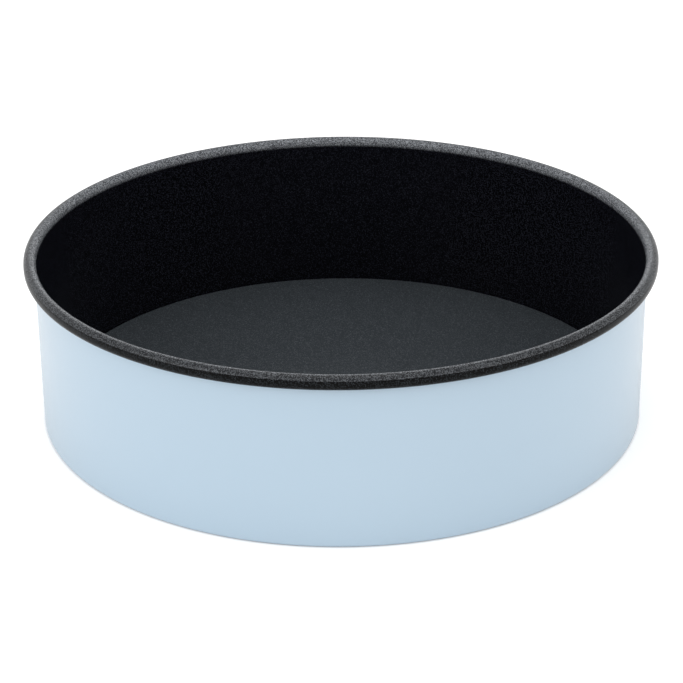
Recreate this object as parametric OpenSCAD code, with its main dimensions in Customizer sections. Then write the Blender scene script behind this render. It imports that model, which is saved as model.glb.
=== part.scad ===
// Round cake pan with a loose base. The wall is drawn from one sheet, without a seam. Its
// top is rolled outwards over a wire, and its foot is turned in as a ledge. The base rests
// on the ledge, is centred by the wall, and is pushed up from below to free the cake.
// Millimetres, +Z up. The origin is the middle of the circle that the pan stands on.

/* [Wall] */
// Diameter inside the wall, the size that the pan is sold by
inside_d = 230; // [150:1:320]
// Height over all, from the foot to the top of the rim
pan_h = 66.7; // [30:0.1:120]
// Thickness of the sheet
sheet_t = 0.7; // [0.5:0.05:1.2]

/* [Rolled rim] */
// Diameter of the wire that the rim is rolled over
wire_d = 3.2; // [2:0.1:5]
// Gap between the wire and the sheet that is rolled over it
wire_clearance = 0.05; // [0.02:0.01:0.2]
// Gap between the two ends of the wire, which is bent to a ring and not welded
wire_end_gap = 1; // [0.5:0.1:5]
// Height of the flat flank between the bend over the wire and the bend below it
flank_h = 0.7; // [0.2:0.05:2]
// Angle that the lower bend turns under, back towards the wall
tuck_angle = 125; // [90:5:130]

/* [Ledge] */
// Distance that the ledge reaches in from the inside of the wall
ledge_w = 8; // [4:0.5:15]
// Inside radius of the bend between the wall and the ledge
foot_bend_r = 0.3; // [0.1:0.05:1]

/* [Loose base] */
// Thickness of the base
base_t = 1.2; // [0.6:0.1:3]
// Gap all round between the edge of the base and the start of the bend at the wall's foot
base_clearance = 0.3; // [0.2:0.05:1]
// Radius that breaks the two edges of the base
base_edge_r = 0.25; // [0.1:0.05:0.3]

/* [Hidden] */

// Colours: the enamel outside, the coating inside and over the rim, and bare wire
enamel = [0.74, 0.82, 0.88];
coating = [0.13, 0.13, 0.14];
steel = [0.66, 0.67, 0.68];

// Segments in a turn about the pan's axis, and in a turn of a bend in its section
turn_steps = 180;
bend_steps = 60;
// Rays that bound a bend, and how far past it they reach
wedge_steps = 4;
wedge_reach_share = 2;

inside_r = inside_d / 2;
// Half of the sheet: the enamelled half outside and the coated half inside
skin_t = sheet_t / 2;

// The roll: its inner and outer radius, the circle along which it runs, and the heights of
// its two centres
roll_inner_r = wire_d / 2 + wire_clearance;
roll_outer_r = roll_inner_r + sheet_t;
roll_run_r = inside_r + roll_outer_r;
roll_top_z = pan_h - roll_outer_r;
roll_low_z = roll_top_z - flank_h;

// The foot: the top of its bend, and the edge of the base, which lies on the flat ledge
foot_top_z = sheet_t + foot_bend_r;
base_r = inside_r - foot_bend_r - base_clearance;

// Point at a radius and an angle in the drawing plane
function ray(r, angle) = [r * cos(angle), r * sin(angle)];

// Part of the drawing plane between two angles, at least as far out as the radius given
module wedge(r, from_angle, to_angle) {
    step = (to_angle - from_angle) / wedge_steps;
    rays = [for (i = [0:wedge_steps]) ray(wedge_reach_share * r, from_angle + i * step)];
    polygon(concat([[0, 0]], rays));
}

// Section of a sheet that is bent round the origin, from one angle to another
module bend(inner_r, outer_r, from_angle, to_angle) {
    intersection() {
        difference() {
            circle(r = outer_r, $fn = bend_steps);
            circle(r = inner_r, $fn = bend_steps);
        }
        wedge(outer_r, from_angle, to_angle);
    }
}

// Section of the ledge, the bend at the foot and the straight wall. It is drawn between two
// depths in the sheet, which are counted from the side that the cake touches.
module side_section(from_depth, to_depth) {
    thickness = to_depth - from_depth;
    translate([inside_r - ledge_w, sheet_t - to_depth])
        square([ledge_w - foot_bend_r, thickness]);
    translate([inside_r - foot_bend_r, foot_top_z])
        bend(foot_bend_r + from_depth, foot_bend_r + to_depth, -90, 0);
    translate([inside_r + from_depth, foot_top_z])
        square([thickness, roll_top_z - foot_top_z]);
}

// Section of the rolled rim: over the wire, straight down the flank, and tucked back under.
// It carries the section of the side on, between the same two depths in the sheet.
module roll_section(from_depth, to_depth) {
    near_r = roll_outer_r - to_depth;
    far_r = roll_outer_r - from_depth;
    translate([roll_run_r, roll_top_z])
        bend(near_r, far_r, 0, 180);
    translate([roll_run_r + near_r, roll_low_z])
        square([far_r - near_r, flank_h]);
    translate([roll_run_r, roll_low_z])
        bend(near_r, far_r, -tuck_angle, 0);
}

// Section of one layer of the sheet, from the edge of the ledge to the end of the roll
module sheet_section(from_depth, to_depth) {
    side_section(from_depth, to_depth);
    roll_section(from_depth, to_depth);
}

// Wall, rolled rim and ledge, all one sheet. The roll turns the coated half of it outwards
// and closes the enamelled half round the wire.
module pan_wall() {
    color(enamel)
        rotate_extrude($fn = turn_steps)
            sheet_section(skin_t, sheet_t);
    color(coating)
        rotate_extrude($fn = turn_steps)
            sheet_section(0, skin_t);
}

// Wire inside the rim, with its ends at the back of the pan
module rim_wire() {
    gap_angle = 360 * wire_end_gap / (2 * PI * roll_run_r);
    color(steel)
        rotate([0, 0, 90 + gap_angle / 2])
            rotate_extrude(angle = 360 - gap_angle, $fn = turn_steps)
                translate([roll_run_r, roll_top_z])
                    circle(d = wire_d, $fn = bend_steps);
}

// Flat disc that lies on the ledge, with its edges broken
module loose_base() {
    edge_r = base_r - base_edge_r;
    color(coating)
        translate([0, 0, sheet_t])
            rotate_extrude($fn = turn_steps) {
                square([edge_r, base_t]);
                translate([0, base_edge_r])
                    square([base_r, base_t - 2 * base_edge_r]);
                for (z = [base_edge_r, base_t - base_edge_r])
                    translate([edge_r, z])
                        circle(r = base_edge_r, $fn = bend_steps);
            }
}

pan_wall();
rim_wire();
loose_base();
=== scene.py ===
import math
import bpy
from mathutils import Matrix, Vector


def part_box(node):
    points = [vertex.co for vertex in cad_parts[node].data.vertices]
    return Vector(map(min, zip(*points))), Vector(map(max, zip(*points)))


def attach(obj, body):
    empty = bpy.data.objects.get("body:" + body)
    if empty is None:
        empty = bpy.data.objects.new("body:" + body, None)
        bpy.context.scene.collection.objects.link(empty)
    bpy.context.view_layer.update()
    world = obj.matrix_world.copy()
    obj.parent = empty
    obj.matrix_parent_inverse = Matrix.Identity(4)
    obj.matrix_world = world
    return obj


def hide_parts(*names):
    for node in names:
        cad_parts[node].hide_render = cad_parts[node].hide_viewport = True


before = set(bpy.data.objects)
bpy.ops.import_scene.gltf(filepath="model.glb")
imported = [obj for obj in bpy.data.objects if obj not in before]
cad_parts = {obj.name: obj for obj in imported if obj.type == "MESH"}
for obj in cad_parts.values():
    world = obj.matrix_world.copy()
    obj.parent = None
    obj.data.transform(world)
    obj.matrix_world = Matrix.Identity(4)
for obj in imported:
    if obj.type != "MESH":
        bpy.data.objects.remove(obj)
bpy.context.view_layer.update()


# Camera
# A long lens in front of the pan, high enough to look over the near rim on to the floor of
# the pan. It aims at the axis of the pan, a little above its foot, and leans very slightly.
camera_lens_mm = 111.796
camera_sensor_mm = 36
camera_near_limit = 0.01
camera_distance = 0.82313
camera_aim_z = 0.02429
camera_pitch = math.radians(24.9413)
camera_lean = math.radians(-0.4172)
quarter_turn = math.radians(90)

camera = bpy.data.objects.new("camera", bpy.data.cameras.new("camera"))
camera.data.lens = camera_lens_mm
camera.data.sensor_width = camera_sensor_mm
camera.data.clip_start = camera_near_limit
camera.location = (
    0,
    -camera_distance * math.cos(camera_pitch),
    camera_aim_z + camera_distance * math.sin(camera_pitch),
)
camera.rotation_mode = "QUATERNION"
looking_down = Matrix.Rotation(quarter_turn - camera_pitch, 3, "X")
leaning = Matrix.Rotation(camera_lean, 3, "Z")
camera.rotation_quaternion = (looking_down @ leaning).to_quaternion()
bpy.context.scene.collection.objects.link(camera)
bpy.context.scene.camera = camera
bpy.context.scene.view_settings.view_transform = "Standard"


# Studio
# A pale matt floor under the pan, a white surround with a darker ceiling in its reflections,
# and three soft lamps: a small one overhead, and a large one on either side in front. The
# floor shows white, apart from the shadow, which is darkest where the pan touches it.
white = (1, 1, 1, 1)
floor_half_width = 1
floor_drop = 0.0001
floor_colour = (0.82, 0.82, 0.82, 1)
floor_glow = 0.44
floor_glow_reflected = 0.2
contact_reach = 0.0009
surround_seen = 1
surround_light = 0.78
ceiling_heights = (math.sin(math.radians(30)), math.sin(math.radians(55)))
ceiling_reflected = 0.15


def new_material(name, shader_settings):
    """A material whose shader has these settings. Gives it, its node tree and its shader."""
    material = bpy.data.materials.new(name)
    material.use_nodes = True
    shader = material.node_tree.nodes["Principled BSDF"]
    for socket, value in shader_settings.items():
        shader.inputs[socket].default_value = value
    return material, material.node_tree, shader


def feed(tree, source, socket):
    """Sets a socket by a link, where the source is another socket, or to a number or colour."""
    if isinstance(source, bpy.types.NodeSocket):
        tree.links.new(source, socket)
    else:
        socket.default_value = source


def between(tree, share, when_none, when_all):
    """Socket that runs from one level to another as the share runs from 0 to 1."""
    mapped = tree.nodes.new("ShaderNodeMapRange")
    feed(tree, share, mapped.inputs["Value"])
    feed(tree, when_none, mapped.inputs["To Min"])
    feed(tree, when_all, mapped.inputs["To Max"])
    return mapped.outputs["Result"]


def smooth_step(tree, value, start, end):
    """Socket that rises smoothly from 0 to 1 as the value goes from the start to the end."""
    step = tree.nodes.new("ShaderNodeMapRange")
    step.interpolation_type = "SMOOTHSTEP"
    feed(tree, value, step.inputs["Value"])
    feed(tree, start, step.inputs["From Min"])
    feed(tree, end, step.inputs["From Max"])
    return step.outputs["Result"]


def seen_as(tree, as_light, in_gloss, by_camera):
    """Socket of a level that differs for light, for reflections and glass, and for the camera."""
    path = tree.nodes.new("ShaderNodeLightPath")
    level = between(tree, path.outputs["Is Glossy Ray"], as_light, in_gloss)
    level = between(tree, path.outputs["Is Transmission Ray"], level, in_gloss)
    return between(tree, path.outputs["Is Camera Ray"], level, by_camera)


floor_paint, tree, shader = new_material(
    "floor_paint",
    {"Base Color": floor_colour, "Roughness": 1, "Specular IOR Level": 0, "Emission Color": white},
)
openness = tree.nodes.new("ShaderNodeAmbientOcclusion")
openness.inputs["Distance"].default_value = contact_reach
open_glow = between(tree, openness.outputs["AO"], 0, floor_glow)
glow = seen_as(tree, 0, floor_glow_reflected, open_glow)
feed(tree, glow, shader.inputs["Emission Strength"])

floor_corners = [
    (x * floor_half_width, y * floor_half_width, -floor_drop)
    for x, y in ((-1, -1), (1, -1), (1, 1), (-1, 1))
]
floor_mesh = bpy.data.meshes.new("floor")
floor_mesh.from_pydata(floor_corners, [], [(0, 1, 2, 3)])
floor_mesh.materials.append(floor_paint)
floor = bpy.data.objects.new("floor", floor_mesh)
bpy.context.scene.collection.objects.link(floor)

world = bpy.data.worlds.new("surround")
bpy.context.scene.world = world
world.use_nodes = True
tree = world.node_tree
surround = tree.nodes["Background"]
surround.inputs["Color"].default_value = white
direction = tree.nodes.new("ShaderNodeSeparateXYZ")
feed(tree, tree.nodes.new("ShaderNodeTexCoord").outputs["Generated"], direction.inputs["Vector"])
ceiling = smooth_step(tree, direction.outputs["Z"], *ceiling_heights)
reflected = between(tree, ceiling, surround_seen, ceiling_reflected)
strength = seen_as(tree, surround_light, reflected, surround_seen)
feed(tree, strength, surround.inputs["Strength"])


def softbox(name, place, width, watts):
    """A square soft lamp at a place, aimed at the pan."""
    lamp = bpy.data.lights.new(name, "AREA")
    lamp.shape = "SQUARE"
    lamp.size = width
    lamp.energy = watts
    box = bpy.data.objects.new(name, lamp)
    box.location = place
    towards_pan = Vector((0, 0, camera_aim_z)) - Vector(place)
    box.rotation_mode = "QUATERNION"
    box.rotation_quaternion = towards_pan.to_track_quat("-Z", "Y")
    bpy.context.scene.collection.objects.link(box)


softbox("overhead_lamp", place=(0, -0.02, 0.62), width=0.24, watts=0.66)
softbox("left_lamp", place=(-1.3, -0.9, 0.7), width=0.9, watts=5.7)
softbox("right_lamp", place=(1.3, -0.9, 0.7), width=0.9, watts=3.4)


# Outside of the pan wall
# The outer face of the one drawn steel sheet: powder-blue enamel, sprayed on and baked. It
# runs from under the ledge, round the foot and up the side, and on into the rolled rim.
flank_height = 0.0007
tuck_angle = math.radians(125)
ledge_width = 0.008
foot_bend_radius = 0.0003
cut_edge_ease = 0.00014
bend_step = math.radians(10)
bend_support = 0.00025
sharp_edge_angle = math.radians(35)
turn_steps = 240
side_steps = 12
ledge_steps = 2
ease_steps = 4

wall_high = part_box("pan_wall")[1]
wire_low, wire_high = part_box("rim_wire")
base_low, base_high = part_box("loose_base")
sheet_thickness = base_low.z
skin_thickness = sheet_thickness / 2
roll_top_z = (wire_low.z + wire_high.z) / 2
roll_radius = wall_high.z - roll_top_z
roll_run_radius = wall_high.x - roll_radius
roll_low_z = roll_top_z - flank_height
inside_radius = roll_run_radius - roll_radius
ledge_radius = inside_radius - ledge_width
foot_centre = (inside_radius - foot_bend_radius, sheet_thickness + foot_bend_radius)
roll_top_centre = (roll_run_radius, roll_top_z)
roll_low_centre = (roll_run_radius, roll_low_z)

enamel_light = (0.524, 0.669, 0.793, 1)
enamel_deep = (0.504, 0.651, 0.778, 1)
enamel_gloss = {"IOR": 1.5, "Coat Weight": 1, "Coat Roughness": 0.25, "Coat IOR": 1.5}
enamel_roughness = (0.38, 0.46)
enamel_drift_scale = 14
enamel_drift_detail = 3
enamel_peel_scale = 420
enamel_peel_detail = 2
enamel_peel_height = 0.00002


def arc(centre, radius, start, end):
    """Points (radius, height) of a round bend in a section, from one angle to another."""
    steps = math.ceil(abs(end - start) / bend_step)
    turns = [start + (end - start) * i / steps for i in range(steps + 1)]
    return [
        Vector((centre[0] + radius * math.cos(turn), centre[1] + radius * math.sin(turn)))
        for turn in turns
    ]


def straight(start, end, steps):
    """Points between two ends of a flat stretch, close to its ends and evenly along it."""
    near_end = bend_support / (end - start).length
    shares = [near_end] + [i / steps for i in range(1, steps)] + [1 - near_end]
    return [start.lerp(end, share) for share in shares]


def sheet_face(depth):
    """Points of the face at a depth in the sheet, counted from the side that the cake touches."""
    foot = arc(foot_centre, foot_bend_radius + depth, -quarter_turn, 0)
    over = arc(roll_top_centre, roll_radius - depth, 2 * quarter_turn, 0)
    under = arc(roll_low_centre, roll_radius - depth, 0, -tuck_angle)
    ledge_edge = Vector((ledge_radius, sheet_thickness - depth))
    ledge = straight(ledge_edge, foot[0], ledge_steps)
    side = straight(foot[-1], over[0], side_steps)
    return [ledge_edge] + ledge + foot + side + over + under


def eased(before, corner, after):
    """Points that round a cut edge, in place of the corner between two points."""
    start = corner + (before - corner).normalized() * cut_edge_ease
    end = corner + (after - corner).normalized() * cut_edge_ease
    shares = [i / ease_steps for i in range(ease_steps + 1)]
    return [start.lerp(corner, s).lerp(corner.lerp(end, s), s) for s in shares]


def skin_outline(face, middle):
    """Closed outline between a face of the sheet and its middle, with both cut edges eased."""
    first = eased(middle[0], face[0], face[1])
    last = eased(face[-2], face[-1], middle[-1])
    return first + face[1:-1] + last + middle[::-1]


def revolve(name, outline, material):
    """A closed piece: the outline (radius, height) turned about the axis of the pan."""
    places = []
    rings = []
    for radius, height in outline:
        on_axis = radius == 0
        first = len(places)
        for i in range(1 if on_axis else turn_steps):
            turn = 2 * math.pi * i / turn_steps
            places.append((radius * math.cos(turn), radius * math.sin(turn), height))
        rings.append([first if on_axis else first + i for i in range(turn_steps)])
    faces = []
    for ring, following in zip(rings, rings[1:] + rings[:1]):
        for i in range(turn_steps):
            j = (i + 1) % turn_steps
            corners = list(dict.fromkeys((ring[i], ring[j], following[j], following[i])))
            if len(corners) > 2:
                faces.append(corners)
    mesh = bpy.data.meshes.new(name)
    mesh.from_pydata(places, [], faces)
    mesh.shade_smooth()
    mesh.set_sharp_from_angle(angle=sharp_edge_angle)
    mesh.materials.append(material)
    piece = bpy.data.objects.new(name, mesh)
    bpy.context.scene.collection.objects.link(piece)
    return piece


def object_place(tree):
    """Socket of the place of a point in the frame of the pan."""
    return tree.nodes.new("ShaderNodeTexCoord").outputs["Object"]


def noise(tree, scale, detail):
    """Socket of a cloud-like pattern, with this many clouds to the metre."""
    pattern = tree.nodes.new("ShaderNodeTexNoise")
    feed(tree, object_place(tree), pattern.inputs["Vector"])
    feed(tree, scale, pattern.inputs["Scale"])
    feed(tree, detail, pattern.inputs["Detail"])
    return pattern.outputs["Fac"]


def blend(tree, share, colour_none, colour_all):
    """Socket of a colour that runs from one to another as the share runs from 0 to 1."""
    mix = tree.nodes.new("ShaderNodeMix")
    mix.data_type = "RGBA"
    feed(tree, share, mix.inputs["Factor"])
    colour_inputs = [socket for socket in mix.inputs if socket.type == "RGBA"]
    for colour, socket in zip((colour_none, colour_all), colour_inputs):
        feed(tree, colour, socket)
    return next(socket for socket in mix.outputs if socket.type == "RGBA")


def relief(tree, shader, height, depth):
    """Raises the surface of a shader by a height that runs from 0 to 1, this deep in metres."""
    bump = tree.nodes.new("ShaderNodeBump")
    feed(tree, height, bump.inputs["Height"])
    feed(tree, depth, bump.inputs["Distance"])
    feed(tree, bump.outputs["Normal"], shader.inputs["Normal"])


enamel, tree, shader = new_material("powder_blue_enamel", enamel_gloss)
drift = noise(tree, enamel_drift_scale, enamel_drift_detail)
feed(tree, blend(tree, drift, enamel_deep, enamel_light), shader.inputs["Base Color"])
peel = noise(tree, enamel_peel_scale, enamel_peel_detail)
feed(tree, between(tree, peel, *enamel_roughness), shader.inputs["Roughness"])
relief(tree, shader, peel, enamel_peel_height)

middle_face = sheet_face(skin_thickness)
enamel_outline = skin_outline(sheet_face(sheet_thickness), middle_face)
wall_outside = revolve("wall_outside", enamel_outline, enamel)
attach(wall_outside, "pan")
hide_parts("pan_wall")


# Inside of the pan wall, with the rolled rim
# The other face of the same sheet: a satin black non-stick coating with fine paler flecks.
# It covers the ledge and the side, and turns out over the wire to make the rim's face. On the side
# and the face the coat is painted far darker than on the base, as painted shade, and over the
# top of the rim it is painted pale, as painted light.
# Painted shade: the coats of the side and the rim's face are the same coating as the base's, but
# made far darker.
side_coats_painted_shade = ((0.0024, 0.0026, 0.0038, 1), (0.016, 0.0172, 0.0245, 1))
face_coats_painted_shade = ((0.0004, 0.0005, 0.0006, 1), (0.026, 0.03, 0.0345, 1))
# Painted light: pale coats that stand in for light falling on the top of the rim.
painted_crown_light_coats = ((0.067, 0.0705, 0.077, 1), (0.285, 0.3, 0.322, 1))
fleck_scale = 4000
dark_fleck_share = 0.2
painted_crown_fleck_share = 0.38
face_reach_shares = (-0.95, -0.65)
# Where the painted light lies on the roll: on its shoulder, over its top, and fading a little
# below its middle inside.
painted_shoulder_turns = (math.radians(19), math.radians(26))
painted_shoulder_share = 0.33
painted_crown_turns = (math.radians(67), math.radians(112))
painted_light_fade_depth = 0.0014
coating_gloss = {"IOR": 1.35, "Specular IOR Level": 0.18}
coating_roughness = (0.18, 0.28)
coating_grain_scale = 1800
coating_grain_detail = 2
coating_grain_height = 0.00004


def computed(tree, operation, *values):
    """Socket of one step of arithmetic on sockets or numbers."""
    step = tree.nodes.new("ShaderNodeMath")
    step.operation = operation
    for value, socket in zip(values, step.inputs):
        feed(tree, value, socket)
    return step.outputs[0]


def from_roll(tree):
    """Sockets of how far a point is outwards of the middle of the roll, and how far above it."""
    place = tree.nodes.new("ShaderNodeSeparateXYZ")
    feed(tree, object_place(tree), place.inputs["Vector"])
    x_squared = computed(tree, "POWER", place.outputs["X"], 2)
    y_squared = computed(tree, "POWER", place.outputs["Y"], 2)
    radius = computed(tree, "SQRT", computed(tree, "ADD", x_squared, y_squared))
    outwards = computed(tree, "SUBTRACT", radius, roll_run_radius)
    upwards = computed(tree, "SUBTRACT", place.outputs["Z"], roll_top_z)
    return outwards, upwards


def nonstick(name, gloss, roughness):
    """The coating, not yet coloured. Gives it, its tree, shader and a random level per fleck."""
    material, tree, shader = new_material(name, gloss)
    cells = tree.nodes.new("ShaderNodeTexVoronoi")
    feed(tree, object_place(tree), cells.inputs["Vector"])
    feed(tree, fleck_scale, cells.inputs["Scale"])
    levels = tree.nodes.new("ShaderNodeSeparateColor")
    feed(tree, cells.outputs["Color"], levels.inputs["Color"])
    grain = noise(tree, coating_grain_scale, coating_grain_detail)
    feed(tree, between(tree, grain, *roughness), shader.inputs["Roughness"])
    relief(tree, shader, grain, coating_grain_height)
    return material, tree, shader, levels.outputs["Red"]


def flecked(tree, levels, share, coats):
    """Socket of a coat's colour, with this share of its surface in paler flecks."""
    is_fleck = computed(tree, "LESS_THAN", levels, share)
    return blend(tree, is_fleck, *coats)


# The turn is the angle about the wire, from straight outwards. Painted light makes the coat
# palest from over the wire to a little below its middle inside, and less pale on the shoulder;
# elsewhere the coat is dark.
side_coating_painted_light_and_shade, tree, shader, levels = nonstick("side_coating_painted_light_and_shade", coating_gloss, coating_roughness)
outwards, upwards = from_roll(tree)
turn = computed(tree, "ARCTAN2", upwards, outwards)
painted_shoulder_mask = smooth_step(tree, turn, *painted_shoulder_turns)
painted_crown_mask = smooth_step(tree, turn, *painted_crown_turns)
shoulder_painted_light = between(tree, painted_shoulder_mask, 0, painted_shoulder_share)
roll_painted_light = between(tree, painted_crown_mask, shoulder_painted_light, 1)
reach_start, reach_end = [share * roll_radius for share in face_reach_shares]
on_face = smooth_step(tree, outwards, reach_start, reach_end)
on_side = smooth_step(tree, outwards, reach_end, reach_start)
painted_light_fading = smooth_step(tree, upwards, -painted_light_fade_depth, 0)
side_painted_light = computed(tree, "MULTIPLY", on_side, painted_light_fading)
painted_light_share = computed(tree, "MAXIMUM", roll_painted_light, side_painted_light)
# The side's and the face's colours are the black coating, darkened further as painted shade.
side = flecked(tree, levels, dark_fleck_share, side_coats_painted_shade)
face = flecked(tree, levels, dark_fleck_share, face_coats_painted_shade)
# The crown's colour is painted light on the top of the rim.
painted_crown_colour = flecked(tree, levels, painted_crown_fleck_share, painted_crown_light_coats)
dark_coat_and_painted_shade = blend(tree, on_face, side, face)
feed(tree, blend(tree, painted_light_share, dark_coat_and_painted_shade, painted_crown_colour), shader.inputs["Base Color"])

# The outline is turned back to front, so that the faces look outwards
coating_outline = skin_outline(sheet_face(0), middle_face)[::-1]
wall_inside = revolve("wall_inside_and_rim", coating_outline, side_coating_painted_light_and_shade)
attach(wall_inside, "pan")
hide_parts("pan_wall")


# Rim wire
# Drawn steel wire, bent to a ring with a narrow gap at the back of the pan. It is not fixed:
# the sheet that is rolled over it holds it. Its bare surface is brighter and duller by turns.
wire_bright = (0.5, 0.5, 0.51, 1)
wire_dull = (0.36, 0.35, 0.35, 1)
wire_roughness = (0.3, 0.5)
wire_patch_scale = 900
wire_patch_detail = 2

steel, tree, shader = new_material("drawn_wire", {"Metallic": 1})
patches = noise(tree, wire_patch_scale, wire_patch_detail)
feed(tree, blend(tree, patches, wire_dull, wire_bright), shader.inputs["Base Color"])
feed(tree, between(tree, patches, *wire_roughness), shader.inputs["Roughness"])
for material_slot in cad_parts["rim_wire"].material_slots:
    material_slot.material = steel


# Loose base
# A flat steel disc, stamped out, with both edges broken, coated on both sides like the inside
# of the pan. It lies on the ledge by its own weight and lifts out with the cake.
base_edge_radius = 0.00025
base_ring_shares = (0, 0.25, 0.5, 0.75, 0.9)
base_coats = ((0.0375, 0.0437, 0.0498, 1), (0.107, 0.119, 0.131, 1))
base_fleck_share = 0.15
base_gloss = {"IOR": 1.4, "Specular IOR Level": 0.12}
base_roughness = (0.34, 0.46)

flat_radius = base_high.x - base_edge_radius
edge_low_centre = (flat_radius, base_low.z + base_edge_radius)
edge_high_centre = (flat_radius, base_high.z - base_edge_radius)


def flat_face(height):
    """Points of a flat face of the base at a height, from its middle to near its edge."""
    return [Vector((flat_radius * share, height)) for share in base_ring_shares]


base_coating, tree, shader, levels = nonstick("base_coating", base_gloss, base_roughness)
coat = flecked(tree, levels, base_fleck_share, base_coats)
feed(tree, coat, shader.inputs["Base Color"])

base_outline = flat_face(base_low.z)
base_outline += arc(edge_low_centre, base_edge_radius, -quarter_turn, 0)
base_outline += arc(edge_high_centre, base_edge_radius, 0, quarter_turn)
base_outline += flat_face(base_high.z)[::-1]
loose_base = revolve("base_disc", base_outline, base_coating)
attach(loose_base, "base")
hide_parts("loose_base")
